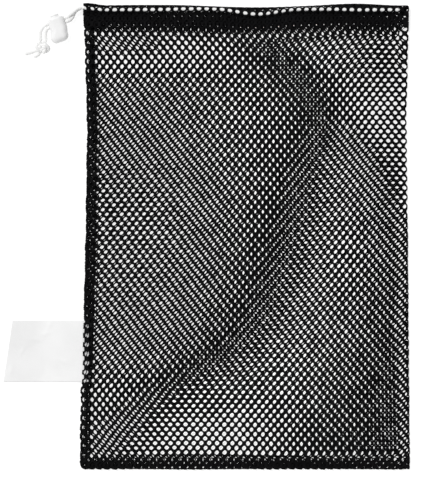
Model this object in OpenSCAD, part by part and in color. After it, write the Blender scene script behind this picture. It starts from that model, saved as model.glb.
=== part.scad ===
// Mesh ball bag, lying flat: a black net sack with a drawcord hem and a cord lock.
// Origin: middle of the bag and tag, on the surface that it lies on. +Y points to the mouth, +Z up.

/* [Bag] */
// Width of the flat bag, side seam to side fold
bag_w = 324.5; // [280:0.5:360]
// Height of the flat bag, bottom seam to hem edge
bag_h = 461; // [420:1:520]
// Thickness of one layer of net
net_t = 1; // [0.6:0.1:1.4]
// How far the front panel stands off the back panel inside the bag
puff = 5.2; // [4.6:0.1:8]
// Width of the turned-in seam allowance
seam_w = 12; // [6:1:14]

/* [Hem] */
// Depth of the hem that holds the drawcord
hem_h = 24.5; // [20:0.5:30]
// Length of the folded hem end at the cord exit
hem_end_l = 20; // [12:1:28]
// Distance between stitches
stitch_pitch = 6; // [5:0.5:10]

/* [Drawcord] */
// Diameter of the drawcord
cord_d = 3.8; // [3.2:0.1:3.8]
// Radius of the knot in the two cord ends
knot_r = 7.2; // [6.6:0.1:7.6]
// Height of the knot
knot_h = 10.6; // [9:0.1:12]

/* [Cord lock] */
// Width of the barrel at the plunger end
barrel_w = 17.2; // [16.6:0.1:19]
// Thickness of the barrel
barrel_t = 12.4; // [12.2:0.1:12.6]
// Radius of the plunger's stem
stem_r = 4.6; // [4.4:0.05:4.7]
// Running clearance between the stem and its bore
stem_gap = 0.08; // [0.03:0.01:0.1]
// Travel of the plunger
plunger_travel = 1.8; // [1.4:0.1:1.8]

/* [Tag] */
// Length of the tag from the side seam to its far edge
tag_l = 78.8; // [60:0.1:90]
// Width of the tag along the seam
tag_w = 61; // [40:1:70]
// Thickness of the tag
tag_t = 0.5; // [0.4:0.1:0.8]
// How much shorter the tag is at its upper edge
tag_slant = 9; // [0:0.5:14]

/* [Hidden] */
$fn = 48;
tag_gap = 0.6;
right_x = (bag_w + tag_l + tag_gap) / 2;
left_x = right_x - bag_w;
top_y = bag_h / 2;
hem_y = top_y - hem_h;
seam_z = 3 * net_t;                 // underside of the front panel along the seams
seam_inset = 0.5;                   // the turned-in edges stay this far inside the outline
fold_w = 6;                         // strip along the side fold where the front panel turns down

// Sideways shift of the two side edges, by fraction of the height from the bottom
left_shift = [[0, -3.5], [0.17, -2.5], [0.187, 0.2], [0.3, 2.5], [0.5, 4], [0.74, 5], [0.9, 2.5], [1, 0]];
right_shift = [[0, 0], [0.28, -2], [0.5, -3.5], [0.75, -5.5], [0.9, -3], [1, -1]];
function part_of_height(y) = (y + bag_h / 2) / bag_h;
function left_at(y) = left_x + lookup(part_of_height(y), left_shift);
function right_at(y) = right_x + lookup(part_of_height(y), right_shift);

// Rows of the panels from the bottom to the hem, with every bend of the side edges among them
panel_rows = [for (f = [0, 0.04, 0.08, 0.12, 0.17, 0.187, 0.24, 0.3, 0.37, 0.44, 0.5, 0.56, 0.62,
    0.68, 0.74, 0.79, 0.84, 0.9]) bag_h * (f - 0.5)];

// Hem: a flat stitched strip with a round tunnel for the cord along its outer edge
hem_flat_t = 2 * net_t;
tunnel_r = cord_d / 2 + 0.25;
tunnel_wall = 0.55;
hem_t = 2 * (tunnel_r + tunnel_wall);
hem_bevel = 1;                      // bevel along the outer edge of the hem
strip_len = 3;                      // the strip starts this far below the tunnel, a little thicker
strip_extra = 0.3;
end_extra = net_t / 2;              // the folded ends of the hem are thicker
tunnel_y = top_y - 4.7;
exit_rise = 2;                      // the cord climbs this far towards the corner where it leaves
exit_run = 25;                      // and climbs over this length
tunnel_dip = 4;                     // the cord sags this far in one place of the hem
dip_x = 50;
dip_run = 40;
hem_gap = 0.2;
front_hem_z = hem_t + hem_gap;
hem_right = right_x - 1;
hem_mid = (left_x + hem_right) / 2;
hairpin_x = hem_right - 12;         // the cord turns back here, inside the side fold

function tunnel_at(x) =
    tunnel_y
    + exit_rise * ease((left_x + exit_run - x) / exit_run)
    - tunnel_dip * ease(1 - abs(x - dip_x) / dip_run);

// The mouth gapes in the middle and closes towards both sides
closed_w = 2;
hairpin_run = 30;
function lift(x) = puff * max(0, 1 - pow(abs(x - hem_mid) / (bag_w / 2 - closed_w), 4));
function hem_lift(x) = lift(x) * ease((hairpin_x - x) / hairpin_run);

// Stitches along the foot of the hem
stitch_l = 0.6 * stitch_pitch;
stitch_w = 0.7;
stitch_t = 0.5;
stitch_gap = 0.15;
stitch_y = 2;
thread_l = 3;                       // loops of the overlock thread along the seams
thread_w = 0.8;
thread_gap = 0.05;

// Underside of the front panel
bottom_flat = 4;
bottom_rise = 100;
mouth_rise = 70;
function ease(t) = let (c = min(1, max(0, t))) c * c * (3 - 2 * c);
function across(x, y) = 2 * abs(x - (left_at(y) + right_at(y)) / 2) / (right_at(y) - left_at(y));
function front_z(x, y) =
    seam_z
    + (front_hem_z - seam_z) * ease((y - hem_y + mouth_rise) / mouth_rise)
    + puff * ease((y + bag_h / 2 - bottom_flat) / bottom_rise) * max(0, 1 - pow(across(x, y), 4));

// Drawcord route, measured from the cord exit at the bag's upper left corner
exit_corner = [left_x - 1.5, tunnel_y + exit_rise, 0];
front_strand = [
    [0, 0, 8.3], [-3.5, -0.6, 8.3], [-6.4, -2.6, 8.1], [-9, -4.9, 7.6], [-11.6, -7.1, 7.1],
    [-13.1, -8.3, 6.6], [-14.8, -9.2, 6.2], [-21.5, -11.6, 6.2], [-28.1, -14, 6.2], [-33.9, -16.1, 6.2],
    [-37.1, -18.1, 6.3], [-39.7, -21.1, 6.4], [-41, -24.9, 6.3], [-40.9, -28.9, 6], [-40.5, -33.6, 5.6]
];
back_strand = [
    [0, 0, 2.7], [-3, -0.6, 2.7], [-5.6, -2.3, 2.9], [-7.3, -4.6, 3.3], [-9, -8.7, 4.4],
    [-10.8, -11.2, 5.5], [-13.5, -12.8, 6.2], [-20.2, -15.3, 6.2], [-26.8, -17.7, 6.2], [-32.6, -19.8, 6.2],
    [-34.7, -21.7, 5.6], [-35.8, -24.5, 4.4], [-35.9, -27.9, 3.1], [-35.9, -31.3, 2.4], [-36.6, -34.5, 2.3]
];
long_tail = [[-45.2, -42, 3.4], [-49, -43.3, 2.5], [-53, -44.4, 2], [-56.8, -45.2, 2]];
short_tail = [[-42.2, -44.8, 3.4], [-44.4, -46.6, 2.4], [-47.6, -48.8, 2]];
knot_at = exit_corner + [-39.3, -40.1, 0];
hairpin_r = front_hem_z / 2;
run_z = hem_t / 2;
run_steps = 15;
hem_split_x = left_x + hem_end_l;
end_xs = [left_x, left_x + hem_end_l / 2, hem_split_x];
run_xs = [for (k = [0:run_steps]) hem_split_x + (hairpin_x - hem_split_x) * k / run_steps];
cord_xs = concat([exit_corner[0], end_xs[1]], run_xs);
drawcord_route = concat(
    [for (x = cord_xs) [x, tunnel_at(x), run_z]],
    [for (a = [-60:30:60]) [hairpin_x + hairpin_r * cos(a), tunnel_y, run_z + hairpin_r * (1 + sin(a))]],
    [for (k = [len(cord_xs) - 1:-1:0])
        let (x = cord_xs[k]) [x, tunnel_at(x), run_z + front_hem_z + hem_lift(x)]]
);

// Cord lock: its frame has +X along the cord to the bag and +Y out of the plunger
lock_at = exit_corner + [-24.6, -14.8, 6.2];
lock_turn = 20;
strand_step = 1.95;
slot_r = cord_d / 2 + 0.2;
slot_extra = 0.4;                   // extra length of the barrel's slot away from the plunger's head
barrel_top = 5.2;
barrel_taper = -6;                  // the barrel narrows from here to its round end
barrel_end = -19.4;
barrel_end_r = 5.8;
barrel_bulge = 5.5;                 // the round end is fuller on the side away from the bag
bore_floor = -14.5;
stem_end = -6.6;
head_gap = 0.15;                    // left under the head when it is pressed in
head_from = barrel_top + plunger_travel + head_gap;
head_t = 1.8;
head_r = 5;
spring_r = 3.5;
spring_wire = 0.6;
spring_turns = 4;

// Tag: flat on the surface at its far edge, raised to the seam at its hinge
hinge_x = left_x - tag_gap;
hinge_z = 3.2;
tag_y = -bag_h * 0.179;             // upper edge of the tag

net_black = [0.05, 0.05, 0.055];
thread_black = [0.1, 0.1, 0.11];
cord_white = [0.93, 0.93, 0.92];
plastic_white = [0.96, 0.96, 0.96];

function unit(v) = v / norm(v);
function heading(p, i) = unit(p[min(i + 1, len(p) - 1)] - p[max(i - 1, 0)]);
function ring(c, t, up, r, n) =
    let (a = unit(cross(t, up)), b = cross(t, a))
    [for (k = [0:n - 1]) c + r * (cos(360 * k / n) * a + sin(360 * k / n) * b)];

// Joins equal loops of n points into one closed solid; a strip loop runs out along one face and back
// along the other, so its two end faces are split across it
module loft(loops, strip = false) {
    n = len(loops[0]);
    last = len(loops) - 1;
    cap = strip
        ? [for (k = [0:n / 2 - 2]) each [[k, k + 1, n - 1 - k], [k + 1, n - 2 - k, n - 1 - k]]]
        : [[for (k = [0:n - 1]) k]];
    sides = [for (i = [0:last - 1]) for (k = [0:n - 1])
        let (k2 = (k + 1) % n, a = i * n + k, b = i * n + k2)
        each [[a, a + n, b + n], [a, b + n, b]]];
    far_cap = [for (f = cap) [for (k = [len(f) - 1:-1:0]) last * n + f[k]]];
    polyhedron([for (loop = loops) each loop], concat(sides, cap, far_cap));
}

// Round tube along points p; up is a direction that the tube never follows
module tube(p, r, n, up) {
    loft([for (i = [0:len(p) - 1]) ring(p[i], heading(p, i), up, r, n)]);
}

// Cross-section of the hem in Y and Z, with its stitched strip this thick
function hem_section(flat_t, x) = let (y = tunnel_at(x)) concat(
    [[hem_y, 0], [top_y - hem_bevel, 0], [top_y, hem_bevel], [top_y, hem_t / 2]],
    [for (a = [30:30:120]) [y + hem_t / 2 * cos(a), hem_t / 2 * (1 + sin(a))]],
    [[y - hem_t / 2 - strip_len, flat_t + strip_extra], [hem_y, flat_t]]
);

// Tunnel loop around the drawcord at x, for a hem that stands at height z
function tunnel_section(x, z) =
    [for (a = [0:45:315]) [x, tunnel_at(x) + tunnel_r * cos(a), z + run_z + tunnel_r * sin(a)]];

// Hem through the stations xs, open at its left end and hollowed out for the cord's turn at its right end
module hem(xs, z, rise, flat_t) {
    function height(x) = z + rise * hem_lift(x);
    turn_end = hairpin_x + hairpin_r + tunnel_r;
    last = len(xs) - 1;
    bore_end = min(xs[last] + 1, turn_end);
    difference() {
        loft([for (x = xs) [for (s = hem_section(flat_t, x)) [x, s[0], s[1] + height(x)]]]);
        loft(concat(
            [[for (p = tunnel_section(xs[0], height(xs[0]))) p - [1, 0, 0]]],
            [for (i = [0:last - 1]) tunnel_section(xs[i], height(xs[i]))],
            [[for (p = tunnel_section(xs[last], height(xs[last]))) [bore_end, p[1], p[2]]]]
        ));
        translate([hairpin_x - 0.5, tunnel_y - tunnel_r, run_z])
            cube([turn_end - hairpin_x + 0.5, 2 * tunnel_r, front_hem_z]);
    }
}

// Row of stitches on a hem that stands at height z
module stitches(z, rise) {
    heights = [for (x = concat(end_xs, run_xs)) [x, rise * hem_lift(x)]];
    count = floor((hairpin_x - left_x - 2 * stitch_pitch) / stitch_pitch);
    color(thread_black)
        for (k = [1:count]) {
            x = left_x + stitch_pitch * k;
            under = hem_flat_t + (x < hem_split_x ? end_extra : 0) + strip_extra / 3;
            height = max(lookup(x, heights), lookup(x + stitch_l, heights));
            translate([x, hem_y + stitch_y, z + height + under + stitch_gap])
                cube([stitch_l, stitch_w, stitch_t]);
        }
}

// Outline between two side edges, through the rows ys
module between_edges(ys, from_left, from_right) {
    polygon(concat(
        [for (y = ys) [from_right == undef ? left_at(y) + seam_w : right_at(y) - from_right, y]],
        [for (k = [len(ys) - 1:-1:0]) [left_at(ys[k]) + from_left, ys[k]]]));
}

module back_panel() {
    color(net_black)
        linear_extrude(net_t)
            between_edges(concat(panel_rows, [hem_y]), 0, seam_inset);
}

// Domed front panel; its right edge turns down to the side fold
module front_panel() {
    columns = [0, 0.04, 0.1, 0.2, 0.35, 0.5, 0.65, 0.8, 0.9, 0.96, 0.985, 1];
    rows = concat(panel_rows, [hem_y]);
    function col_x(c, y) = left_at(y) + (right_at(y) - left_at(y)) * c;
    function under(x, y, c) = c == 1 ? net_t : front_z(x, y);
    color(net_black)
        loft([for (y = rows) concat(
            [for (c = columns) let (x = col_x(c, y)) [x, y, under(x, y, c)]],
            [for (i = [len(columns) - 1:-1:0])
                let (c = columns[i], x = col_x(c, y)) [x, y, front_z(x, y) + net_t]])], true);
}

// Turned-in edges of both panels, between them
module side_seam() {
    from = -top_y + seam_w;
    color(net_black)
        translate([0, 0, net_t])
            linear_extrude(seam_z - net_t)
                between_edges(concat([from], [for (y = panel_rows) if (y > from) y], [hem_y]), seam_inset);
}

module bottom_seam() {
    from = left_at(-top_y) + 2 * seam_inset;
    color(net_black)
        translate([from, -top_y + seam_inset, net_t])
            cube([right_x - fold_w - from, seam_w - 2 * seam_inset, seam_z - net_t]);
}

module side_seam_thread() {
    from = -top_y + seam_w + thread_l;
    count = floor((hem_y - from - seam_w) / stitch_pitch);
    color(thread_black)
        for (y = [for (k = [0:count]) from + stitch_pitch * k])
            translate([max(left_at(y), left_at(y + thread_l)) + seam_w + thread_gap, y, net_t + thread_gap])
                cube([thread_w, thread_l, seam_z - net_t - 2 * thread_gap]);
}

module bottom_seam_thread() {
    from = left_x + seam_w + thread_l;
    count = floor((right_x - fold_w - from - seam_w) / stitch_pitch);
    color(thread_black)
        for (x = [for (k = [0:count]) from + stitch_pitch * k])
            translate([x, -top_y + seam_w - seam_inset + thread_gap, net_t + thread_gap])
                cube([thread_l, thread_w, seam_z - net_t - 2 * thread_gap]);
}

module back_hem() {
    color(net_black) hem(concat(run_xs, [hem_right]), 0, 0, hem_flat_t);
}

module front_hem() {
    color(net_black) hem(concat(run_xs, [hem_right]), front_hem_z, 1, hem_flat_t);
}

module back_hem_end() {
    color(net_black) hem(end_xs, 0, 0, hem_flat_t + end_extra);
}

module front_hem_end() {
    color(net_black) hem(end_xs, front_hem_z, 1, hem_flat_t + end_extra);
}

module back_hem_stitches() {
    stitches(0, 0);
}

module front_hem_stitches() {
    stitches(front_hem_z, 1);
}

module drawcord_run() {
    color(cord_white) tube(drawcord_route, cord_d / 2, 8, [0, 1, 0]);
}

module cord_from_exit(p) {
    color(cord_white) tube([for (q = p) exit_corner + q], cord_d / 2, 8, [0, 0, 1]);
}

module front_cord_end() {
    cord_from_exit(front_strand);
}

module back_cord_end() {
    cord_from_exit(back_strand);
}

module long_cord_tail() {
    cord_from_exit(long_tail);
}

module short_cord_tail() {
    cord_from_exit(short_tail);
}

// Overhand knot as one round lump
module cord_knot() {
    edge = knot_h / 2;
    color(cord_white)
        translate(knot_at)
            rotate_extrude() {
                square([knot_r - edge, knot_h]);
                translate([knot_r - edge, edge])
                    intersection() {
                        circle(edge);
                        translate([0, -edge]) square([edge, knot_h]);
                    }
            }
}

module in_lock_frame() {
    translate(lock_at) rotate([0, 0, lock_turn]) children();
}

// Slot along X that clears both strands, between two heights along Y
module cord_slot(low, high, reach) {
    for (y = [low + slot_r, high - slot_r])
        translate([-reach, y, 0]) rotate([0, 90, 0]) cylinder(h = 2 * reach, r = slot_r);
    translate([-reach, low + slot_r, -slot_r]) cube([2 * reach, high - low - 2 * slot_r, 2 * slot_r]);
}

// Stretch of the barrel with round sides, between two heights along Y
module barrel_band(side, low, high) {
    hull()
        for (s = [-1, 1])
            translate([s * side, low, 0])
                rotate([-90, 0, 0]) cylinder(h = high - low, r = barrel_t / 2);
}

module lock_barrel() {
    side = barrel_w / 2 - barrel_t / 2;
    low = strand_step + slot_r;
    color(plastic_white)
        in_lock_frame()
            difference() {
                union() {
                    barrel_band(side, barrel_taper, barrel_top);
                    hull() {
                        barrel_band(side, barrel_taper, barrel_taper + 1);
                        for (x = [-barrel_bulge, side / 2])
                            translate([x, barrel_end + barrel_end_r, 0]) sphere(barrel_end_r, $fn = 32);
                    }
                }
                translate([0, bore_floor, 0])
                    rotate([-90, 0, 0]) cylinder(h = barrel_top - bore_floor + 1, r = stem_r + stem_gap);
                cord_slot(-low - slot_extra, low, barrel_w);
            }
}

module lock_plunger() {
    low = strand_step + slot_r;
    color(plastic_white)
        in_lock_frame() {
            difference() {
                translate([0, stem_end, 0])
                    rotate([-90, 0, 0]) cylinder(h = head_from - stem_end, r = stem_r);
                cord_slot(-low, low + plunger_travel, 2 * stem_r);
            }
            translate([0, head_from, 0])
                rotate([-90, 0, 0]) {
                    cylinder(h = head_t / 2, r = head_r);
                    translate([0, 0, head_t / 2]) cylinder(h = head_t / 2, r1 = head_r, r2 = head_r - 1);
                }
        }
}

module lock_spring() {
    from = bore_floor + spring_wire;
    to = stem_end - spring_wire;
    steps = spring_turns * 12;
    coil = [for (k = [0:steps])
        let (a = 360 * spring_turns * k / steps)
        [spring_r * cos(a), from + (to - from) * k / steps, spring_r * sin(a)]];
    color("silver") in_lock_frame() tube(coil, spring_wire / 2, 6, [0, 1, 0]);
}

module id_tag() {
    fall = asin((hinge_z - tag_t) / tag_l);
    color(cord_white)
        translate([hinge_x, tag_y, hinge_z])
            rotate([0, -fall, 0])
                translate([0, 0, -tag_t])
                    linear_extrude(tag_t)
                        polygon([[0, 0], [-tag_l + tag_slant, 0], [-tag_l, -tag_w], [0, -tag_w]]);
}

back_panel();
front_panel();
side_seam();
bottom_seam();
side_seam_thread();
bottom_seam_thread();
back_hem();
front_hem();
back_hem_stitches();
front_hem_stitches();
back_hem_end();
front_hem_end();
drawcord_run();
front_cord_end();
back_cord_end();
cord_knot();
long_cord_tail();
short_cord_tail();
lock_barrel();
lock_plunger();
lock_spring();
id_tag();
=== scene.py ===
import math

import bpy
import numpy as np
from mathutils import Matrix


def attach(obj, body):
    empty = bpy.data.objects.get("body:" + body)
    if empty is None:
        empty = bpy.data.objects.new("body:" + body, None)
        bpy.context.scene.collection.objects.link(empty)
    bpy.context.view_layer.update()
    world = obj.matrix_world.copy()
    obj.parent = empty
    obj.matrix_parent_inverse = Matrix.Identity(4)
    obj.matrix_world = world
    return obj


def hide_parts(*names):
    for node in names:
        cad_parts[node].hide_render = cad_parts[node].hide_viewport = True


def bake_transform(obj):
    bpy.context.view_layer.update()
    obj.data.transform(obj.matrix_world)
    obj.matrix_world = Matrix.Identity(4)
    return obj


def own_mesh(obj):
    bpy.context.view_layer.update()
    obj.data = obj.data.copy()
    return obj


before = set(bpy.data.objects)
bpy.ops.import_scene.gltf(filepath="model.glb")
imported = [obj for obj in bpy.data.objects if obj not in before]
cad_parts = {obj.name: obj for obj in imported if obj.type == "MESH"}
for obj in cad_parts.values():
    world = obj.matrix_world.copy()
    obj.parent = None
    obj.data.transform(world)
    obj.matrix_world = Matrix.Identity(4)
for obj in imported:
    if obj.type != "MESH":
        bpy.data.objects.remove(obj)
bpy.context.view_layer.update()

MM = 0.001

# ---------------------------------------------------------------- sizes, in millimetres, as in the CAD source
BAG_W, BAG_H, PUFF = 324.5, 461.0, 5.2
HEM_H, HEM_END, CORD_D = 24.5, 20.0, 3.8
TAG_L, TAG_W, TAG_SLANT, TAG_GAP = 78.8, 61.0, 9.0, 0.6
RIGHT_X = (BAG_W + TAG_L + TAG_GAP) / 2
LEFT_X = RIGHT_X - BAG_W
TOP_Y = BAG_H / 2
HEM_Y = TOP_Y - HEM_H
SEAM_Z = 3.0
HEM_T = 5.4
FRONT_HEM_Z = HEM_T + 0.2
HEM_RIGHT = RIGHT_X - 1
HEM_MID = (LEFT_X + HEM_RIGHT) / 2
HAIRPIN_X = HEM_RIGHT - 12           # the cord turns back here, inside the hem
HAIRPIN_R = FRONT_HEM_Z / 2
RUN_Z = HEM_T / 2
TUNNEL_Y = TOP_Y - 4.7               # the cord's line in the hem
EXIT_RISE, EXIT_RUN = 2.0, 25.0
EXIT = np.array([LEFT_X - 1.5, TUNNEL_Y + EXIT_RISE, 0.0])
DIP, DIP_X, DIP_RUN = 4.0, 50.0, 40.0
LOCK_AT = EXIT + np.array([-24.6, -14.8, 6.2])
LOCK_TURN = math.radians(20)
HINGE = np.array([LEFT_X - TAG_GAP, 0.0, 3.2])
TAG_Y = -BAG_H * 0.179

# The visual's own side edges: how far they wander sideways, at shares of the height. They lie within 3 mm of
# those in the CAD source.
LEFT_SHIFT = (
    (0, -3.5), (0.17, -2.8), (0.187, -1.5), (0.35, 0.5), (0.5, 2.2), (0.74, 3.8), (0.9, 1.5), (1, 0),
)
RIGHT_SHIFT = ((0, 0), (0.28, -1.2), (0.5, -2), (0.75, -3.6), (0.9, -2), (1, -1))


def ease(t):
    """0 up to t = 0 and 1 from t = 1, with a smooth rise between."""
    c = np.clip(t, 0.0, 1.0)
    return c * c * (3 - 2 * c)


def bend(points, at):
    """Value at a place on the line through the given (place, value) points."""
    return np.interp(at, *zip(*points))


def left_at(y):
    """x of the left edge at y, with a slight ripple."""
    return LEFT_X + bend(LEFT_SHIFT, (y + TOP_Y) / BAG_H) + 0.25 * np.sin(y / 7.1) + 0.2 * np.sin(y / 3.3 + 1)


def right_at(y):
    """x of the right edge, the fold, at y."""
    return RIGHT_X + bend(RIGHT_SHIFT, (y + TOP_Y) / BAG_H) + 0.15 * np.sin(y / 8.3 + 2)


def hem_lift(x):
    """How far the front hem stands off the back one, besides its own thickness."""
    lift = PUFF * np.maximum(0, 1 - (np.abs(x - HEM_MID) / (BAG_W / 2 - 2)) ** 4)
    return lift * ease((HAIRPIN_X - x) / 30)


def front_z(x, y):
    """Height of the front panel: a low dome between the seams and the hem."""
    left, right = left_at(y), right_at(y)
    across = np.clip(2 * np.abs(x - (left + right) / 2) / (right - left), 0, 1)
    return (
        SEAM_Z
        + (FRONT_HEM_Z - SEAM_Z) * ease((y - HEM_Y + 70) / 70)
        + PUFF * ease((y + TOP_Y - 4) / 100) * (1 - across**4)
    )


def hump(x, middle, reach):
    """Smooth rise to 1 at the middle from 0 at this reach on both sides."""
    return ease(1 - np.abs(x - middle) / reach)


def exit_rise(x):
    """Share of the cord's rise to the corner where it leaves the hem."""
    return ease((LEFT_X + EXIT_RUN - x) / EXIT_RUN)


def dip_at(x):
    """How far the cord sags in the hem, with slight ripples beside the dip of the CAD source."""
    ripples = 0.5 * np.sin((x - 20) / 19) * ease((x - LEFT_X - 60) / 40) * ease((180 - x) / 30)
    return DIP * hump(x, DIP_X, DIP_RUN) + ripples


def sag_at(x):
    """How far the mouth edge lies below its straight line. It rises near the fold and at the cord's exit."""
    return 2.4 * hump(x, 47, 85) - 1.3 * hump(x, 148, 45) - 1.2 * ease((LEFT_X + 22 - x) / 16)


def tunnel_at(x):
    """The cord's line in the hem."""
    return TUNNEL_Y + EXIT_RISE * exit_rise(x) - dip_at(x)


# ---------------------------------------------------------------- mesh helpers
def unit(v):
    return v / np.maximum(np.linalg.norm(v, axis=-1, keepdims=True), 1e-12)


def mesh_object(name, points, faces, material):
    """Smooth object from points in millimetres and faces: an array of equal faces, or a list of any faces."""
    mesh = bpy.data.meshes.new(name)
    points = np.asarray(points, float) * MM
    if isinstance(faces, np.ndarray):
        corners = faces.shape[1]
        mesh.vertices.add(len(points))
        mesh.vertices.foreach_set("co", points.astype(np.float32).ravel())
        mesh.loops.add(faces.size)
        mesh.loops.foreach_set("vertex_index", faces.astype(np.int32).ravel())
        mesh.polygons.add(len(faces))
        mesh.polygons.foreach_set("loop_start", np.arange(0, faces.size, corners, dtype=np.int32))
        mesh.update(calc_edges=True)
        mesh.validate()
    else:
        mesh.from_pydata([tuple(p) for p in points], [], [tuple(f) for f in faces])
    mesh.polygons.foreach_set("use_smooth", np.full(len(mesh.polygons), True))
    mesh.materials.append(material)
    mesh.update()
    thing = bpy.data.objects.new(name, mesh)
    bpy.context.scene.collection.objects.link(thing)
    return thing


def smooth_path(points, step):
    """Evenly spaced points, about step apart, on a smooth curve through the given ones."""
    p = np.asarray(points, float)
    p = np.vstack([2 * p[0] - p[1], p, 2 * p[-1] - p[-2]])
    t = np.linspace(0, 1, 24, endpoint=False)[:, None]
    dense = [
        0.5 * (2 * b + (c - a) * t + (2 * a - 5 * b + 4 * c - d) * t**2 + (3 * b - a - 3 * c + d) * t**3)
        for a, b, c, d in zip(p[:-3], p[1:-2], p[2:-1], p[3:])
    ]
    dense = np.vstack(dense + [p[-2:-1]])
    along = distances(dense)
    at = np.linspace(0, along[-1], max(2, int(round(along[-1] / step)) + 1))
    return np.stack([np.interp(at, along, dense[:, k]) for k in range(3)], axis=1)


def distances(p):
    """Length of the path from its start to each of its points."""
    return np.concatenate([[0], np.cumsum(np.linalg.norm(np.diff(p, axis=0), axis=1))])


def frames(p):
    """Two unit vectors square to the path at each point, turning as little as they can."""
    tangent = unit(np.gradient(p, axis=0))
    start = np.array([0.0, 0.0, 1.0]) if abs(tangent[0][2]) < 0.9 else np.array([0.0, 1.0, 0.0])
    a = [unit(start - tangent[0] * (start @ tangent[0]))]
    for t in tangent[1:]:
        a.append(unit(a[-1] - t * (a[-1] @ t)))
    a = np.array(a)
    return a, np.cross(tangent, a)


CARRIERS = 4              # strands that wind each way round a braid


def tube_arrays(p, radius, sides, plait=0.0):
    """Vertices and quads of a round tube with domed ends along p. plait is the height of a braid's relief."""
    a, b = frames(p)
    along = distances(p)
    radii = np.full(len(p), float(radius))
    for end in (along, along[-1] - along):
        near = end < radius
        radii[near] *= np.sqrt(np.maximum(0.03, 1 - (1 - end[near] / radius) ** 2))
    theta = np.linspace(0, 2 * np.pi, sides, endpoint=False)
    wind = along[:, None] * CARRIERS / max(radii.mean(), 0.1)
    ridge = np.maximum(np.cos(CARRIERS * theta + wind), np.cos(CARRIERS * theta - wind))
    r = radii[:, None] + plait * (ridge - 0.6)
    outward = np.cos(theta)[:, None] * a[:, None] + np.sin(theta)[:, None] * b[:, None]
    ring = p[:, None] + r[..., None] * outward
    n, m = len(p), sides
    i, k = np.meshgrid(np.arange(n - 1), np.arange(m), indexing="ij")
    k2 = (k + 1) % m
    quads = np.stack([i * m + k, i * m + k2, (i + 1) * m + k2, (i + 1) * m + k], -1).reshape(-1, 4)
    points = np.vstack([ring.reshape(-1, 3), p[:1], p[-1:]])
    first, last = n * m, n * m + 1
    k = np.arange(0, m, 2)
    at_end = (n - 1) * m
    caps = np.vstack([
        np.stack([np.full_like(k, first), (k + 2) % m, k + 1, k], -1),
        np.stack([np.full_like(k, last), at_end + k, at_end + k + 1, at_end + (k + 2) % m], -1),
    ])
    return points, np.vstack([quads, caps])


def join_arrays(parts):
    """Vertices and faces of several meshes as one."""
    points, faces, base = [], [], 0
    for p, f in parts:
        points.append(p)
        faces.append(f + base)
        base += len(p)
    return np.vstack(points), np.vstack(faces)


# ---------------------------------------------------------------- materials
GLOSS_SPREAD = 0.08       # how far the roughness wanders either way
WAVE_BANDS = 3.183        # bands of the wave texture per unit of its scale


def material(name, dark, light, roughness, blotch, fine, bump, pattern=None, **shader):
    """Procedural material: a colour that wanders between two tones, a fine surface relief and uneven gloss.
    blotch and fine are the sizes in millimetres of the tone's patches and of the relief, bump is its height.
    pattern can add a relief of its own, and shader holds further settings of the surface."""
    m = bpy.data.materials.new(name)
    m.use_nodes = True
    nodes, links = m.node_tree.nodes, m.node_tree.links
    nodes.clear()
    out = nodes.new("ShaderNodeOutputMaterial")
    bsdf = nodes.new("ShaderNodeBsdfPrincipled")
    links.new(bsdf.outputs[0], out.inputs[0])
    place = nodes.new("ShaderNodeTexCoord")

    def noise(size, detail):
        n = nodes.new("ShaderNodeTexNoise")
        n.inputs["Scale"].default_value = 1 / (size * MM)
        n.inputs["Detail"].default_value = detail
        links.new(place.outputs["Object"], n.inputs["Vector"])
        return n

    tone = noise(blotch, 3)
    grain = noise(fine, 2)
    mix = nodes.new("ShaderNodeMath")
    mix.operation = "MULTIPLY_ADD"
    links.new(grain.outputs["Fac"], mix.inputs[0])
    mix.inputs[1].default_value = 0.5
    links.new(tone.outputs["Fac"], mix.inputs[2])
    height = grain.outputs["Fac"]
    value = mix.outputs[0]
    if pattern:
        height = pattern(nodes, links, place, grain)
        both = nodes.new("ShaderNodeMath")
        both.operation = "MULTIPLY_ADD"
        links.new(height, both.inputs[0])
        both.inputs[1].default_value = 0.35
        links.new(value, both.inputs[2])
        value = both.outputs[0]
    ramp = nodes.new("ShaderNodeValToRGB")
    ramp.color_ramp.elements[0].position = 0.45
    ramp.color_ramp.elements[1].position = 1.05 if pattern else 0.95
    ramp.color_ramp.elements[0].color = (*dark, 1)
    ramp.color_ramp.elements[1].color = (*light, 1)
    links.new(value, ramp.inputs["Fac"])
    links.new(ramp.outputs["Color"], bsdf.inputs["Base Color"])
    gloss = nodes.new("ShaderNodeMapRange")
    gloss.inputs["To Min"].default_value = roughness - GLOSS_SPREAD
    gloss.inputs["To Max"].default_value = roughness + GLOSS_SPREAD
    links.new(tone.outputs["Fac"], gloss.inputs["Value"])
    links.new(gloss.outputs["Result"], bsdf.inputs["Roughness"])
    relief = nodes.new("ShaderNodeBump")
    relief.inputs["Strength"].default_value = 0.6
    relief.inputs["Distance"].default_value = bump * MM
    links.new(height, relief.inputs["Height"])
    links.new(relief.outputs["Normal"], bsdf.inputs["Normal"])
    for socket, number in shader.items():
        bsdf.inputs[socket.replace("_", " ")].default_value = number
    return m


def weave(pitch_x, pitch_y):
    """Plain woven bands, pitch_x and pitch_y millimetres apart, as a height."""

    def build(nodes, links, place, grain):
        heights = []
        for axis, pitch in (("X", pitch_x), ("Y", pitch_y)):
            wave = nodes.new("ShaderNodeTexWave")
            wave.bands_direction = axis
            wave.inputs["Scale"].default_value = 1 / (pitch * MM) / WAVE_BANDS
            wave.inputs["Distortion"].default_value = 0.6
            wave.inputs["Detail"].default_value = 1
            links.new(place.outputs["Object"], wave.inputs["Vector"])
            heights.append(wave.outputs["Fac"])
        top = nodes.new("ShaderNodeMath")
        top.operation = "MULTIPLY"
        links.new(heights[0], top.inputs[0])
        links.new(heights[1], top.inputs[1])
        return top.outputs[0]

    return build


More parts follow.
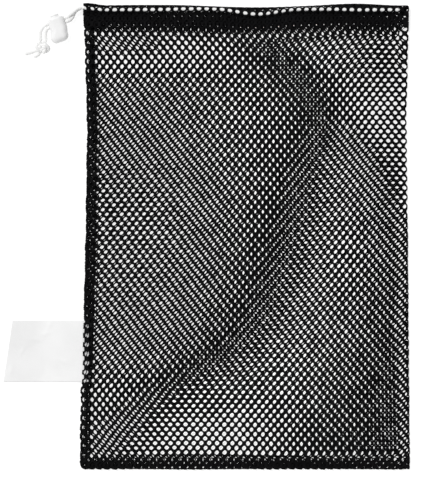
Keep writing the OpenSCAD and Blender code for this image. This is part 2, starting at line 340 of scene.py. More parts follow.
NET_BLACK = material(
    "net_polyester", (0.0006, 0.0006, 0.0008), (0.0042, 0.0042, 0.0048), 0.7, 14, 0.45, 0.18,
    Specular_IOR_Level=0.07,
)
THREAD_BLACK = material(
    "thread_polyester", (0.0008, 0.0008, 0.0010), (0.006, 0.006, 0.0066), 0.6, 3, 0.22, 0.08,
    Specular_IOR_Level=0.1,
)
CORD_WHITE = material(
    "cord_polyester", (0.86, 0.86, 0.855), (0.97, 0.97, 0.965), 0.6, 5, 0.25, 0.08, Sheen_Weight=0.1
)
TAG_WHITE = material(
    "tag_satin", (0.84, 0.84, 0.84), (0.92, 0.92, 0.92), 0.42, 30, 0.3, 0.05, pattern=weave(0.55, 0.32),
    Sheen_Weight=0.15,
)
PLASTIC_WHITE = material(
    "lock_acetal", (0.87, 0.87, 0.87), (0.94, 0.94, 0.94), 0.36, 7, 0.35, 0.02, Specular_IOR_Level=0.5
)
SPRING_STEEL = material(
    "spring_steel", (0.42, 0.42, 0.43), (0.62, 0.62, 0.63), 0.28, 2, 0.2, 0.01, Metallic=1.0
)

# ---------------------------------------------------------------- camera, light and floor
scene = bpy.context.scene
scene.view_settings.view_transform = "Standard"
VIEW_HEIGHT = 0.4766      # metres of the bag's plane that the picture shows from top to bottom
VIEW_MID = (0.00447, -0.0025)
CAMERA_HEIGHT = 3.0
MID_BAG = 0.005           # height at which the view has its full size
SENSOR = 36.0
camera_data = bpy.data.cameras.new("camera")
camera_data.sensor_fit = "VERTICAL"
camera_data.sensor_height = SENSOR
camera_data.lens = SENSOR * (CAMERA_HEIGHT - MID_BAG) / VIEW_HEIGHT
camera_data.clip_end = 50
camera = bpy.data.objects.new("camera", camera_data)
camera.location = (*VIEW_MID, CAMERA_HEIGHT)
scene.collection.objects.link(camera)
scene.camera = camera

world = bpy.data.worlds.new("studio")
world.use_nodes = True
world.node_tree.nodes["Background"].inputs["Color"].default_value = (1, 1, 1, 1)
world.node_tree.nodes["Background"].inputs["Strength"].default_value = 0.5
scene.world = world

key_light = bpy.data.lights.new("key", "SUN")
key_light.energy = 1.75
key_light.angle = math.radians(16)
key_lamp = bpy.data.objects.new("key", key_light)
key_lamp.rotation_euler = (math.radians(-20), math.radians(-24), 0)
key_lamp.location = (0, 0, 2)
scene.collection.objects.link(key_lamp)

FLOOR_REACH = 6
FLOOR_DROP = 0.0004
floor_material = bpy.data.materials.new("paper")
floor_material.use_nodes = True
paper = floor_material.node_tree.nodes["Principled BSDF"]
paper.inputs["Base Color"].default_value = (0.45, 0.45, 0.45, 1)
paper.inputs["Roughness"].default_value = 0.9
paper.inputs["Specular IOR Level"].default_value = 0.1
paper.inputs["Emission Color"].default_value = (1, 1, 1, 1)
paper.inputs["Emission Strength"].default_value = 0.74
floor_mesh = bpy.data.meshes.new("floor")
floor_mesh.from_pydata(
    [(FLOOR_REACH * x, FLOOR_REACH * y, 0) for x, y in ((-1, -1), (1, -1), (1, 1), (-1, 1))],
    [], [(0, 1, 2, 3)],
)
floor_mesh.materials.append(floor_material)
floor = bpy.data.objects.new("floor", floor_mesh)
floor.location = (0, 0, -FLOOR_DROP)
scene.collection.objects.link(floor)

# ---------------------------------------------------------------- drawcord
# The strands and tails are given by points on their middle lines, measured from the cord's exit at the hem.
FRONT_STRAND = (
    (0, 0, 8.3), (-3.5, -0.6, 8.3), (-6.4, -2.6, 8.1), (-9, -4.9, 7.6), (-11.6, -7.1, 7.1),
    (-13.1, -8.3, 6.6), (-14.8, -9.2, 6.2), (-21.5, -11.6, 6.2), (-28.1, -14, 6.2), (-33.9, -16.1, 6.2),
    (-37.1, -18.1, 6.3), (-39.7, -21.1, 6.4), (-41, -24.9, 6.3), (-40.9, -28.9, 6), (-40.5, -33.6, 5.6),
)
BACK_STRAND = (
    (0, 0, 2.7), (-3, -0.6, 2.7), (-5.6, -2.3, 2.9), (-7.3, -4.6, 3.3), (-9, -8.7, 4.4),
    (-10.8, -11.2, 5.5), (-13.5, -12.8, 6.2), (-20.2, -15.3, 6.2), (-26.8, -17.7, 6.2), (-32.6, -19.8, 6.2),
    (-34.7, -21.7, 5.6), (-35.8, -24.5, 4.4), (-35.9, -27.9, 3.1), (-35.9, -31.3, 2.4), (-36.6, -34.5, 2.3),
)
LONG_TAIL = ((-45.2, -42, 3.4), (-49, -43.3, 2.5), (-53, -44.4, 2), (-56.8, -45.2, 2))
SHORT_TAIL = ((-42.2, -44.8, 3.4), (-44.4, -46.6, 2.4), (-47.6, -48.8, 2))
IN_KNOT = (-41, -41.2, 4.4)
KNOT_AT = EXIT + np.array([-39.3, -40.1, 5.3])
BRAID_R = CORD_D / 2 - 0.05
PLAIT = 0.16              # relief of the braid


def cord_piece(name, arrays, node):
    piece = mesh_object(name, *arrays, CORD_WHITE)
    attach(piece, "bag")
    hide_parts(node)
    return piece


def braided(name, path, node):
    return cord_piece(name, tube_arrays(path, BRAID_R, 28, PLAIT), node)


strand_paths = [smooth_path(EXIT + np.array(p), 0.4) for p in (FRONT_STRAND, BACK_STRAND)]
strands = [
    braided(name, path, node)
    for name, path, node in zip(
        ("cord_front_strand", "cord_back_strand"), strand_paths, ("front_cord_end", "back_cord_end")
    )
]
tails = [
    braided(name, smooth_path(EXIT + np.array((IN_KNOT,) + points), 0.3), node)
    for name, points, node in (
        ("cord_tail_long", LONG_TAIL, "long_cord_tail"), ("cord_tail_short", SHORT_TAIL, "short_cord_tail")
    )
]


KNOT_SCALE, KNOT_RISE, KNOT_BESIDE = 1.35, 2.2, 1.25
KNOT_OPEN = 0.35          # where the trefoil is cut open, each way in radians
KNOT_TURN = math.radians(215)
KNOT_LONG, KNOT_WIDE = 1.22, 1.02


def knot_strand(side):
    """One strand of the overhand knot, a cut trefoil. side is where it lies beside the other one."""
    t = np.linspace(np.pi / 3 + KNOT_OPEN, np.pi / 3 + 2 * np.pi - KNOT_OPEN, 60)
    flat = np.stack([np.sin(t) + 2 * np.sin(2 * t), np.cos(t) - 2 * np.cos(2 * t)], 1) * KNOT_SCALE
    slope = unit(np.gradient(flat, axis=0))
    flat = flat + side * np.stack([-slope[:, 1], slope[:, 0]], 1)
    c, d = math.cos(KNOT_TURN), math.sin(KNOT_TURN)
    x = flat[:, 0] * c - flat[:, 1] * d
    y = flat[:, 0] * d + flat[:, 1] * c
    return KNOT_AT + np.stack([KNOT_LONG * x, KNOT_WIDE * y, -KNOT_RISE * np.sin(3 * t)], 1)


knot = cord_piece(
    "cord_overhand_knot",
    join_arrays([
        tube_arrays(smooth_path(knot_strand(side), 0.4), BRAID_R, 24, PLAIT)
        for side in (-KNOT_BESIDE, KNOT_BESIDE)
    ]),
    "cord_knot",
)

RUN_STEPS, RUN_PLAIT = 60, 0.14
run_xs = np.linspace(EXIT[0], HAIRPIN_X, RUN_STEPS)
turn_angles = np.radians(np.arange(-75, 76, 15))
run_points = np.vstack([
    np.stack([run_xs, tunnel_at(run_xs), np.full(RUN_STEPS, RUN_Z)], 1),
    np.stack([
        HAIRPIN_X + HAIRPIN_R * np.cos(turn_angles),
        np.full(len(turn_angles), TUNNEL_Y),
        RUN_Z + HAIRPIN_R * (1 + np.sin(turn_angles)),
    ], 1),
    np.stack([run_xs, tunnel_at(run_xs), RUN_Z + FRONT_HEM_Z + hem_lift(run_xs)], 1)[::-1],
])
run_arrays = tube_arrays(smooth_path(run_points, 0.8), BRAID_R, 20, RUN_PLAIT)
cord_piece("cord_run_in_hem", run_arrays, "drawcord_run")

# ---------------------------------------------------------------- the net as one folded sheet
# s runs across the front from the side seam, round the side fold and back across the back panel.
# t runs up from the bottom fold, over the cord in the hem and down again inside the bag.
COLS, ROWS = 86, 99       # holes round the bag, and rows of them from the bottom to the mouth
PITCH_S = 2 * BAG_W / COLS
PITCH_T = BAG_H / ROWS
SIDE_ALLOWANCE, BOTTOM_ALLOWANCE = 14.0, 13.0
TUCK = 0.82               # share of its length that a turned-in edge covers
HALF_T = 0.45             # half the thickness of the net
FIRST_LAYER_Z = 0.5       # height of the net's middle over the surface it lies on
LAYER_GAP = 1.0           # from layer to layer where the net is turned in
SHOULDER_T, SHOULDER_W = 0.34, 0.42      # half the thickness beside a hole, and how far from the hole it lies
HOLE_R = 2.38
HOLE_NARROW = 0.94        # the holes are a little narrower than they are high
HEM_T0 = HEM_Y + TOP_Y
HEM_FOOT = HEM_Y - 3      # the inner edge of the hem
HOLE_ANGLES = np.radians([0, 20, 43, 67, 90])
RING = 4 * (len(HOLE_ANGLES) - 1)        # points round a hole
HOLE_SPREAD, HOLE_NUDGE = 0.035, 0.07    # how unevenly the holes are sized and placed
KEYS_PER_MM, KEY_STRIDE = 50, 1000003    # how finely, and how, places become whole numbers to compare
SPARE_COLS = 6            # columns of holes that are tried past each end of the sheet


def profile(points):
    """Arc length, y and height along a smooth line through the given (y, z) points."""
    p = smooth_path([(y, z, 0) for y, z in points], 0.15)
    return distances(p), p[:, 0], p[:, 1]


OVER_CORD = [
    (TUNNEL_Y + 2.4 * math.cos(a), 2.7 + 2.4 * math.sin(a)) for a in np.radians([150, 120, 90, 60, 30])
]
BESIDE_CORD = [(HEM_Y + 5, 1.5), (TUNNEL_Y - 7, 1.6), (TUNNEL_Y - 4, 2.4)]
EDGE_TURN = [(TOP_Y - 1.2, 2.6), (TOP_Y - 0.5, 1.5), (TOP_Y - 1.3, 0.6), (TOP_Y - 4, 0.5), (HEM_Y + 12, 0.5)]
FRONT_HEM = profile(
    [(HEM_Y, 0.5), (HEM_Y + 2.5, 1.4)] + BESIDE_CORD + OVER_CORD + EDGE_TURN
    + [(HEM_Y + 2, 0.3), (HEM_Y - 1, -0.6), (HEM_FOOT, -0.7)]
)
BACK_HEM = profile(
    [(HEM_Y, 0.5)] + EDGE_TURN[::-1] + OVER_CORD[::-1] + BESIDE_CORD[::-1] + [(HEM_FOOT, 1.5)]
)
HEM_TURN = 25.0           # from the foot of the hem over the cord to the fold at its edge
HEM_LENGTH = min(FRONT_HEM[0][-1], BACK_HEM[0][-1])


def slip_to_close(length):
    """Slip of a hem's inner layer along s and t, so that its holes lie behind the outer layer's strands."""
    rows = (HEM_FOOT + length + HEM_T0 + TOP_Y) / PITCH_T
    return (0.0 if round(rows) % 2 else PITCH_S / 2), (rows - round(rows)) * PITCH_T


HEM_SLIP = slip_to_close(FRONT_HEM[0][-1]), slip_to_close(BACK_HEM[0][-1])
OUTER_LAYER = slice(np.argmax(FRONT_HEM[1]))
CORD_AT = HEM_T0 + float(np.interp(TUNNEL_Y, FRONT_HEM[1][OUTER_LAYER], FRONT_HEM[0][OUTER_LAYER]))
CORD_ROW = CORD_AT - round(CORD_AT / PITCH_T) * PITCH_T   # brings a row of holes over the middle of the cord


def rounded_corner(x, y, z):
    """Rounds the two bottom corners of the outline."""
    for edge, sign, radius in ((left_at(y), 1, 7.0), (right_at(y), -1, 3.0)):
        a = np.clip((radius - sign * (x - edge)) / radius, 0, 1)
        b = np.clip((radius - y - TOP_Y) / radius, 0, 1)
        x = x + sign * radius * (a - a * np.sqrt(1 - b * b / 2))
        y = y + radius * (b - b * np.sqrt(1 - a * a / 2))
    return x, y, z


def side_point(s, t, back):
    """Place on the front or the back face of the bag, where s counts from the side seam on either face."""
    past_foot = t - HEM_T0
    in_hem = past_foot > 0
    tucked, turned_in = np.maximum(-s, 0), np.maximum(-t, 0)
    outer_y = np.clip(t - TOP_Y, -TOP_Y, TOP_Y)
    left, right = left_at(outer_y), right_at(outer_y)
    share = TUCK + (1 - TUCK) * ease((past_foot + 3) / 6)
    x = np.where(s < 0, left + share * tucked, left + s * (right - left) / BAG_W)

    length, hem_y, hem_z = BACK_HEM if back else FRONT_HEM
    y = np.where(t < 0, -TOP_Y + TUCK * turned_in, t - TOP_Y)
    y = np.where(in_hem, np.interp(past_foot, length, hem_y), y)
    z = np.where(in_hem, np.interp(past_foot, length, hem_z), FIRST_LAYER_Z)
    if not back:
        z = z + np.where(in_hem, FRONT_HEM_Z + hem_lift(x), front_z(x, np.minimum(y, HEM_Y)))

    y = y + np.where(in_hem, 0.6 * EXIT_RISE * exit_rise(x) * ease((past_foot - 10) / 10), 0)
    to_cord = (y - HEM_Y) / (TUNNEL_Y - 3 - HEM_Y)
    to_edge = (TOP_Y - 0.5 - y) / (TOP_Y - 0.5 - TUNNEL_Y - 1)
    y = y - np.where(in_hem, (dip_at(x) - sag_at(x)) * ease(np.minimum(to_cord, to_edge)), 0)
    y = y - sag_at(x) * ease((past_foot + 70) / 70)

    under = 1.0 if back else -1.0            # turned-in cloth lies on the inner side of its face
    for depth in (tucked, turned_in):
        z = z + under * LAYER_GAP * ease(depth / 1.6)
    return np.stack(rounded_corner(x, y, z), -1)


def sheet_point(s, t):
    """Place in millimetres of the middle of the net at (s, t)."""
    s, t = np.broadcast_arrays(np.asarray(s, float), np.asarray(t, float))
    ends = [side_point(np.full_like(s, BAG_W), t, on_back) for on_back in (False, True)]
    r = np.maximum(0.6, (ends[0][..., 2] - ends[1][..., 2]) / 2)     # radius of the side fold
    arc = np.pi / 2 * r

    def on_face(along, on_back):
        flat = np.minimum(along, BAG_W - arc) * (BAG_W - r) / (BAG_W - arc)
        return side_point(np.where(along < 0, along, flat), t, on_back)

    front, back = on_face(s, False), on_face(2 * BAG_W - s, True)
    turn = np.clip((s - BAG_W) / arc, -1, 1) * np.pi / 2
    middle, half = (front + back) / 2, (front - back) / 2
    fold = middle - half * np.sin(turn)[..., None]
    fold[..., 0] += r * np.cos(turn)
    front_part, back_part = (s < BAG_W - arc)[..., None], (s > BAG_W + arc)[..., None]
    return np.where(front_part, front, np.where(back_part, back, fold))


def sheet_normal(s, t):
    """Unit vector square to the net at (s, t)."""
    e = 0.25
    ds = sheet_point(s + e, t) - sheet_point(s - e, t)
    dt = sheet_point(s, t + e) - sheet_point(s, t - e)
    return unit(np.cross(ds, dt))


# The holes of the two layers drift in and out of step. step_1 and step_2 count half diagonals of the lattice:
# both even lets most light through, both odd the least, and one of them odd gives slanting lines. The lines
# along which they change are given by (y, x) points.
STEP_2_ODD = [
    (-230, -120), (-175, -75), (-145, -40), (-120, 5), (-90, 38), (-60, 55), (0, 76), (130, 124), (160, 112),
    (230, 10),
]
CORNER = [(-230, 85), (-200, 96), (-185, 115), (-100, 165), (0, 190), (50, 195), (105, 225), (230, 260)]
UPPER_RIGHT = [(-60, 250), (-25, 210), (0, 192), (80, 162), (105, 140), (160, 76), (230, 40)]


def step_at(past, width):
    """Rise from 0 to 1 across a line that lies past millimetres back."""
    return 0.5 + 0.5 * np.tanh(past / width)


def drift(x, y):
    """Sideways and upward distance between the lattices of the two layers at (x, y)."""
    past = x - bend(STEP_2_ODD, y)
    step_2 = 1 + np.where(past < 0, 0.84 * np.tanh(past / 50), np.tanh(past / 46))
    step_2 = step_2 + step_at(x - bend(CORNER, y), 72)
    step_2 = step_2 + 0.75 * ease((y - 168) / 34) * ease((-20 - x) / 50)      # below the mouth, at its left
    step_2 = step_2 + 0.06 * ease((-70 - x) / 50)

    low = ease((-90 - y) / 50)
    left = step_at(64 * low - 2 - x, 45 - 27 * low)      # share of the left part, wider near the bottom
    step_1 = 1.12 * np.tanh(np.maximum(184 - y, 0) / 26) + 0.46 * ease((110 - y) / 80)
    step_1 = left * step_1 * np.tanh(np.maximum(y + 182, 0) / 105)
    step_1 = step_1 + (1 - left) * (0.62 - 0.3 * low * ease((130 - x) / 60))
    step_1 = step_1 + 0.22 * ease((x - 150) / 40)        # beside the fold
    gain = 0.72 + 0.33 * np.exp(-(((y - 112) / 36) ** 2))
    step_1 = step_1 + gain * step_at(x - bend(UPPER_RIGHT, y), 32)
    step_1 = step_1 - 0.3 * np.exp(-(((x - 140) / 18) ** 2) - ((y + 18) / 42) ** 2)
    step_1 = step_1 + 0.2 * np.exp(-((step_1 / 0.4) ** 2))
    return (step_2 + step_1) * PITCH_S / 4, (step_2 - step_1) * PITCH_T / 2


def lattice_warp(s, t):
    """Moves the lattice within the sheet, half of the drift on each face."""
    back = s > BAG_W
    sign = np.where(back, -1.0, 1.0)
    across = np.where(back, 2 * BAG_W - s, s)
    x, y = LEFT_X + across, np.clip(t, 0, BAG_H) - TOP_Y
    past_foot = t - HEM_T0
    dx, dy = drift(x, y)

    # Where more layers lie on each other, the two faces keep the same step: hem, bottom seam and side seam.
    layered = np.maximum(ease((past_foot + 13) / 11), 1 - ease((t - 9) / 8))
    layered = np.maximum(layered, ease((across - 3) / 5) * ease((12 - across) / 3))
    dx = dx + (PITCH_S / 4 - dx) * layered
    dy = dy * (1 - layered)

    # At the fold both faces are the same holes, so no upward drift is left there.
    off_fold = ease((RIGHT_X - x) / 14)
    fold_dx = PITCH_S / 2 * np.where(y < 50, 1, 3)
    dx = dx + (fold_dx - dx) * (1 - off_fold) * (ease((50 - y) / 40) + ease((y - 150) / 30))
    wave_x = 0.5 * np.sin(y / 41 + 1) + 0.35 * np.sin(x / 37)
    wave_y = 0.45 * np.sin(x / 33 + 2) + 0.3 * np.sin(y / 52)

    # Turned-in layers slip, so that their holes don't all lie on those of the layer over them.
    tucked = np.maximum(-s, s - 2 * BAG_W)
    side_slip = PITCH_T * ease((tucked - 4.5 * (1 - ease(past_foot / 6))) / 3.5)
    bottom_slip = PITCH_S / 2 * ease(-t / 3)
    in_turn = ease((past_foot - HEM_TURN) / 5)
    hem_slip_s, hem_slip_t = in_turn * np.where(back[:, None], HEM_SLIP[1], HEM_SLIP[0]).T
    over_cord = CORD_ROW * ease((past_foot - 4) / 8) * (1 - in_turn)
    return (
        s + 0.5 * dx + sign * wave_x + bottom_slip + hem_slip_s,
        t + (sign * 0.5 * dy + wave_y) * off_fold + side_slip + hem_slip_t + over_cord,
    )


def hexagon():
    """Border of one cell of the net, as many points as round its hole, in cloth millimetres."""
    a, c = PITCH_S / 2, PITCH_T
    k = (a * a + c * c) / 2
    corner, top = (k - a * a) / c, k / c
    slant = [(a * (1 - part), corner + (top - corner) * part) for part in (0, 1 / 3, 2 / 3, 1)]
    quarter = [(a, 0)] + slant
    ring = quarter[:4] + [(-x, y) for x, y in quarter[:0:-1]]
    return np.array(ring + [(-x, -y) for x, y in ring])


def hole_ring():
    """Outline of a hole of radius 1, slightly squared."""
    q = list(HOLE_ANGLES)
    ring = q[:4] + [math.pi - a for a in q[:0:-1]]
    angles = np.array(ring + [a + math.pi for a in ring])
    r = 1 + 0.03 * np.cos(4 * angles)
    return np.stack([HOLE_NARROW * r * np.cos(angles), r * np.sin(angles)], 1)


def net_piece(name, centres, seed):
    """Closed mesh of the cells round the given hole centres."""
    rng = np.random.default_rng(seed)
    n = len(centres)
    size = 1 + HOLE_SPREAD * rng.standard_normal(n)[:, None, None]
    nudge = HOLE_NUDGE * rng.standard_normal((n, 1, 2))
    edge = centres[:, None] + hole_ring() * HOLE_R * size + nudge
    rim = centres[:, None] + hexagon()
    gap = np.linalg.norm(rim - edge, axis=-1, keepdims=True)
    shoulder = edge + (rim - edge) * np.minimum(0.5, SHOULDER_W / np.maximum(gap, 0.1))

    # Neighbouring cells share the points of their borders.
    keys = np.round(rim.reshape(-1, 2) * KEYS_PER_MM).astype(np.int64)
    _, first, index = np.unique(keys @ (KEY_STRIDE, 1), return_index=True, return_inverse=True)
    rim_st = rim.reshape(-1, 2)[first]
    rim_id = index.reshape(n, RING)
    st = np.vstack([edge.reshape(-1, 2), shoulder.reshape(-1, 2), rim_st])
    s, t = lattice_warp(st[:, 0], st[:, 1])
    place, normal = sheet_point(s, t), sheet_normal(s, t)
    n_edge, n_rim = n * RING, len(rim_st)
    edge_p = place[:n_edge]
    shoulder_p, shoulder_n = place[n_edge:2 * n_edge], normal[n_edge:2 * n_edge]
    rim_p, rim_n = place[2 * n_edge:], normal[2 * n_edge:]
    points = np.vstack([
        edge_p, shoulder_p + SHOULDER_T * shoulder_n, shoulder_p - SHOULDER_T * shoulder_n,
        rim_p + HALF_T * rim_n, rim_p - HALF_T * rim_n,
    ])
    e = np.arange(n_edge).reshape(n, RING)
    up, down = e + n_edge, e + 2 * n_edge
    rim_up, rim_down = rim_id + 3 * n_edge, rim_id + 3 * n_edge + n_rim
    quads = []
    for inner, outer, flip in ((e, up, False), (up, rim_up, False), (e, down, True), (down, rim_down, True)):
        a, b = inner, np.roll(inner, -1, axis=1)
        c, d = np.roll(outer, -1, axis=1), outer
        quads.append(np.stack([a, b, c, d] if flip else [a, d, c, b], -1).reshape(-1, 4))

    # Sides of cells that have no neighbour are closed by a wall.
    pair = np.stack([rim_id, np.roll(rim_id, -1, axis=1)], -1).reshape(-1, 2)
    low, high = pair.min(1), pair.max(1)
    _, where, count = np.unique(low * (n_rim + 1) + high, return_index=True, return_counts=True)
    open_pair = pair[where[count == 1]]
    a, b = open_pair[:, 0] + 3 * n_edge, open_pair[:, 1] + 3 * n_edge
    quads.append(np.stack([a, a + n_rim, b + n_rim, b], -1))
    return mesh_object(name, points, np.vstack(quads), NET_BLACK)


def lattice():
    """Hole centres of the whole sheet, each with its row number."""
    found = []
    for row in range(-int(BOTTOM_ALLOWANCE / PITCH_T), int((HEM_T0 + HEM_LENGTH) / PITCH_T)):
        start = (row % 2) * PITCH_S / 2
        t = row * PITCH_T
        reach = HEM_END if t > HEM_T0 else SIDE_ALLOWANCE
        for col in range(-SPARE_COLS, COLS + SPARE_COLS):
            s = start + col * PITCH_S
            tucked = max(-s, s - 2 * BAG_W)
            if tucked <= reach and (tucked <= 0.1 or t >= -0.1):
                found.append((s, t, row))
    return np.array(found)


cells = lattice()
FIRST_ROWS = {"bottom": -9, "middle": 25, "upper": 51, "hem": 77}
LAST_ROW = 200            # beyond the end of the hem
for face, on_face in (("front", cells[:, 0] <= BAG_W), ("back", cells[:, 0] > BAG_W)):
    row_ends = [*FIRST_ROWS.values(), LAST_ROW]
    for index, zone in enumerate(FIRST_ROWS):
        chosen = on_face & (cells[:, 2] >= row_ends[index]) & (cells[:, 2] < row_ends[index + 1])
        centres = cells[chosen][:, :2]
        name = f"net_{face}_{zone}"
        piece = net_piece(name, centres, 11 * index + (face == "back"))
        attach(piece, "bag")
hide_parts("front_panel", "side_seam", "bottom_seam")
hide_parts("back_panel")
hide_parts("front_hem", "front_hem_end")
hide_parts("back_hem", "back_hem_end")


# ---------------------------------------------------------------- sewing
OVERLOCK_R, LOCKSTITCH_R = 0.42, 0.3
STITCH = 6.0              # from stitch to stitch
STITCH_ALONG, STITCH_LIFT = (0, 0.5, 1.8, 3.1, 3.6), (-0.2, 0.45, 0.6, 0.45, -0.2)
ZIGZAG = 2.2              # from one zigzag of the overlock to the next
OVERLOCK_Z = 2.0


def sewn(name, paths, radius, node):
    parts = [tube_arrays(smooth_path(p, 0.6), radius, 6) for p in paths]
    piece = mesh_object(name, *join_arrays(parts), THREAD_BLACK)
    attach(piece, "bag")
    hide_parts(node)
    return piece


def hem_stitches(back):
    """Stitches along the hem's foot. Each comes up through the net and goes down again."""
    paths = []
    t = np.full(len(STITCH_ALONG), HEM_T0 + 3.0)
    for x in np.arange(LEFT_X + STITCH, HAIRPIN_X - STITCH, STITCH):
        s = np.array(STITCH_ALONG) + (x - LEFT_X)
        if back:
            s = 2 * BAG_W - s
        paths.append(sheet_point(s, t) + np.array(STITCH_LIFT)[:, None] * sheet_normal(s, t))
    return paths


def overlock(length, low, high, place):
    """Zigzag of overlock thread between two distances from the edge, and two lines of chain along it.
    place(along, in_from_edge) gives a point."""
    zigzag = [place(k * ZIGZAG / 2, low if k % 2 else high) for k in range(2 * int(length / ZIGZAG))]
    lines = [[place(k * STITCH, d) for k in range(int(length / STITCH))] for d in (low + 0.4, high - 0.6)]
    return [zigzag] + lines


def on_side(along, inward):
    y = along - TOP_Y + 10
    return float(left_at(y)) + inward, y, OVERLOCK_Z


def on_bottom(along, inward):
    return LEFT_X + 8 + along, inward - TOP_Y - 1, OVERLOCK_Z


side_thread = overlock(HEM_Y + TOP_Y - 12, 3.5, 9.5, on_side)
bottom_thread = overlock(BAG_W - 22, 5.0, 12.5, on_bottom)
sewn("side_overlock", side_thread, OVERLOCK_R, "side_seam_thread")
sewn("bottom_overlock", bottom_thread, OVERLOCK_R, "bottom_seam_thread")
sewn("front_hem_lockstitch", hem_stitches(False), LOCKSTITCH_R, "front_hem_stitches")
sewn("back_hem_lockstitch", hem_stitches(True), LOCKSTITCH_R, "back_hem_stitches")


# ---------------------------------------------------------------- tag
TAG_HALF_T = 0.22
TAG_ROOT = 0.085          # share of its length that is sewn into the seam
# Faint creases: millimetres from the seam, millimetres from the upper edge, direction in degrees
CREASES = ((33, 5, 65), (36, 13, 20), (46, 19, -5), (60, 31, 60), (71, 50, 80), (20, 40, -30))


def crease(out, down, at_out, at_down, angle):
    """Height 1 on a short soft ridge of this direction, fading to 0 round it."""
    c, d = math.cos(math.radians(angle)), math.sin(math.radians(angle))
    along = (out - at_out) * c + (down - at_down) * d
    across = (down - at_down) * c - (out - at_out) * d
    return np.exp(-((along / 6) ** 2) - (across / 2.2) ** 2)


def tag_piece():
    """The tag: u runs out from the seam and v down from the upper edge, both as shares."""
    cols, rows = 90, 66
    u, v = np.meshgrid(np.linspace(-TAG_ROOT, 1, cols), np.linspace(0, 1, rows), indexing="ij")
    out = u * (TAG_L - TAG_SLANT * (1 - v))
    x = HINGE[0] - out
    y = TAG_Y - TAG_W * v
    z = 0.35 + 2.95 * (1 - ease(out / 46))               # from the seam down to the floor
    z = z - 1.1 * ease(-out / 4)                         # into the seam
    z = z + 0.9 * ease((u - 0.55) / 0.45) * (0.35 + 0.65 * np.cos(np.pi * v) ** 2)     # corners lift
    z = z + 0.35 * np.sin(5.2 * v + 2 * u) * ease(u / 0.3)
    for mark in CREASES:
        z = z + 0.22 * crease(out, TAG_W * v, *mark)
    z = np.maximum(z, 0.3)
    top = np.stack([x, y, z + TAG_HALF_T], -1).reshape(-1, 3)
    low = np.stack([x, y, z - TAG_HALF_T], -1).reshape(-1, 3)
    i, k = np.meshgrid(np.arange(cols - 1), np.arange(rows - 1), indexing="ij")
    a, b, c, d = (i * rows + k, i * rows + k + 1, (i + 1) * rows + k + 1, (i + 1) * rows + k)
    up = np.stack([a, b, c, d], -1).reshape(-1, 4)
    n = cols * rows
    down = np.stack([d, c, b, a], -1).reshape(-1, 4) + n
    loop = np.concatenate([
        np.arange(rows), np.arange(1, cols) * rows + rows - 1,
        (cols - 1) * rows + np.arange(rows - 2, -1, -1), np.arange(cols - 2, 0, -1) * rows,
    ])
    after = np.roll(loop, -1)
    wall = np.stack([loop, loop + n, after + n, after], -1)
    return mesh_object("id_label", np.vstack([top, low]), np.vstack([up, down, wall]), TAG_WHITE)


tag = tag_piece()
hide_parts("id_tag")
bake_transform(tag)

# ---------------------------------------------------------------- cord lock
# Its frame has X along the cord towards the bag and Y out of the plunger.
BARREL_W, BARREL_T = 17.2, 12.4
BARREL_TOP, BARREL_TAPER, BARREL_END, END_R, BULGE_X = 5.2, -6.0, -19.4, 5.8, 5.5
BORE_FLOOR, BORE_R = -14.5, 4.68
STRAND_STEP, SLOT_R = 1.95, 2.1
STEM_END, STEM_R, TRAVEL = -6.6, 4.6, 1.8
HEAD_FROM, HEAD_T, HEAD_R = 7.15, 1.8, 5.0
SPRING_R, SPRING_WIRE, SPRING_TURNS = 3.5, 0.6, 4.5


def from_lock(points):
    """World millimetres of points in the lock's frame."""
    c, d = math.cos(LOCK_TURN), math.sin(LOCK_TURN)
    x, y, z = np.moveaxis(np.asarray(points, float), -1, 0)
    return LOCK_AT + np.stack([c * x - d * y, d * x + c * y, z], -1)


def skin(loops):
    """Vertices and faces of a closed form through equal loops, ended by flat faces."""
    n, m = len(loops), len(loops[0])
    faces = [
        (i * m + k, i * m + (k + 1) % m, (i + 1) * m + (k + 1) % m, (i + 1) * m + k)
        for i in range(n - 1) for k in range(m)
    ]
    faces += [tuple(range(m - 1, -1, -1)), tuple((n - 1) * m + k for k in range(m))]
    return np.vstack(loops), faces


def stadium(half_length, radius, count=64):
    """Outline of a strip with round ends, its long side along the first coordinate."""
    a = np.linspace(0, 2 * np.pi, count, endpoint=False) + np.pi / count
    return np.stack([radius * np.cos(a) + half_length * np.sign(np.cos(a)), radius * np.sin(a)], 1)


def plastic(name, loops):
    return mesh_object(name, *skin([from_lock(loop) for loop in loops]), PLASTIC_WHITE)


def carve(body, cutters):
    """Cuts the cutters out of body and removes them."""
    for cutter in cutters:
        cut = body.modifiers.new("cut", "BOOLEAN")
        cut.operation, cut.solver, cut.object = "DIFFERENCE", "EXACT", cutter
    carved = bpy.data.meshes.new_from_object(body.evaluated_get(bpy.context.evaluated_depsgraph_get()))
    body.modifiers.clear()
    body.data = carved
    for cutter in cutters:
        bpy.data.objects.remove(cutter, do_unlink=True)
    carved.set_sharp_from_angle(angle=math.radians(38))


def cord_slot(low, high, reach, mouth, flare):
    """Cutter along X between two heights in Y, opening out by flare from |X| = mouth to reach."""
    loops = []
    half = [*np.linspace(mouth, reach, 7), reach + 3]
    for x in [-x for x in half[::-1]] + half:
        out = np.clip((abs(x) - mouth) / (reach - mouth), 0, 1)
        radius = SLOT_R + flare * (1 - math.sqrt(1 - out * out))
        ring = stadium((high - low) / 2 - SLOT_R, radius, 40)
        loops.append(np.stack([np.full(40, x), (low + high) / 2 + ring[:, 0], ring[:, 1]], 1))
    return plastic("cutter", loops)


def turned(name, profile_points):
    """Form turned round the plunger's axis, from (radius, y) points."""
    a = np.linspace(0, 2 * np.pi, 64, endpoint=False)
    return plastic(name, [
        np.stack([r * np.cos(a), np.full(len(a), y), -r * np.sin(a)], 1) for r, y in profile_points
    ])


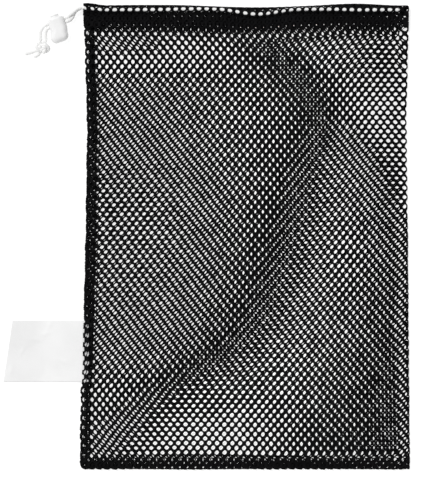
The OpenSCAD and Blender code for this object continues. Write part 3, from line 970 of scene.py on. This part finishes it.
def barrel_loops():
    """Outlines of the barrel from its round end to its top, fuller on one side towards the end."""
    loops = []
    rim = 1.0
    for y in np.concatenate([
        BARREL_END + END_R - END_R * np.cos(np.linspace(0.12, np.pi / 2, 12)),
        np.linspace(BARREL_END + END_R, BARREL_TOP - rim, 14)[1:],
        BARREL_TOP - rim + rim * np.sin(np.linspace(0, np.pi / 2, 6))[1:],
    ]):
        full = ease((y - BARREL_END - END_R) / (BARREL_TAPER - BARREL_END - END_R))
        radius = END_R + (BARREL_T / 2 - END_R) * full
        side = (BARREL_W - BARREL_T) / 2
        right, left = side * (1 + full) / 2, BULGE_X + (side - BULGE_X) * full
        near_end = np.clip((BARREL_END + END_R - y) / END_R, 0, 1)
        radius = radius * math.sqrt(1 - near_end**2)
        near_top = np.clip((y - BARREL_TOP + rim) / rim, 0, 1)
        radius = radius - rim * (1 - math.sqrt(1 - near_top**2))
        radius = radius + 0.18 * math.exp(-(((y - 3.4) / 0.7) ** 2))      # a low ring below the top
        ring = stadium((right + left) / 2, radius)
        loops.append(np.stack([ring[:, 0] + (right - left) / 2, np.full(len(ring), y), -ring[:, 1]], 1))
    return loops


SLOT_END = STRAND_STEP + SLOT_R
barrel = plastic("lock_body", barrel_loops())
carve(barrel, [
    turned("cutter", [
        (BORE_R, BORE_FLOOR), (BORE_R, BARREL_TOP - 0.5), (BORE_R + 0.45, BARREL_TOP),
        (BORE_R + 0.45, BARREL_TOP + 2),
    ]),
    cord_slot(-SLOT_END - 0.4, SLOT_END, BARREL_W / 2, BARREL_W / 2 - 1.6, 0.8),
])
plunger = turned("lock_button", [
    (4.1, STEM_END), (4.45, STEM_END + 0.15), (STEM_R, STEM_END + 0.5), (STEM_R, HEAD_FROM),
    (HEAD_R - 0.15, HEAD_FROM + 0.02), (HEAD_R, HEAD_FROM + 0.2), (HEAD_R, HEAD_FROM + 0.9),
    (HEAD_R - 0.25, HEAD_FROM + 1.4), (HEAD_R - 0.8, HEAD_FROM + 1.72), (HEAD_R - 1.4, HEAD_FROM + HEAD_T),
    (2.9, HEAD_FROM + 1.7), (2.2, HEAD_FROM + 1.45), (0.8, HEAD_FROM + 1.38),
])
carve(plunger, [cord_slot(-SLOT_END, SLOT_END + TRAVEL, 6.0, 5.0, 0.0)])
for piece, node, body in ((barrel, "lock_barrel", "lock"), (plunger, "lock_plunger", "plunger")):
    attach(piece, body)
    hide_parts(node)

coil_t = np.linspace(0, 1, 260)
coil_rise = bend(((0, 0), (0.1, 0.02), (0.9, 0.98), (1, 1)), coil_t)      # flat turns at both ends
coil_angle = 2 * np.pi * SPRING_TURNS * coil_t
low, high = BORE_FLOOR + SPRING_WIRE / 2, STEM_END - SPRING_WIRE / 2
coil = from_lock(np.stack([
    SPRING_R * np.cos(coil_angle), low + (high - low) * coil_rise, SPRING_R * np.sin(coil_angle)
], 1))
spring = mesh_object("lock_coil_spring", *tube_arrays(coil, SPRING_WIRE / 2, 12), SPRING_STEEL)
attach(spring, "lock")
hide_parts("lock_spring")
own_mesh(spring)
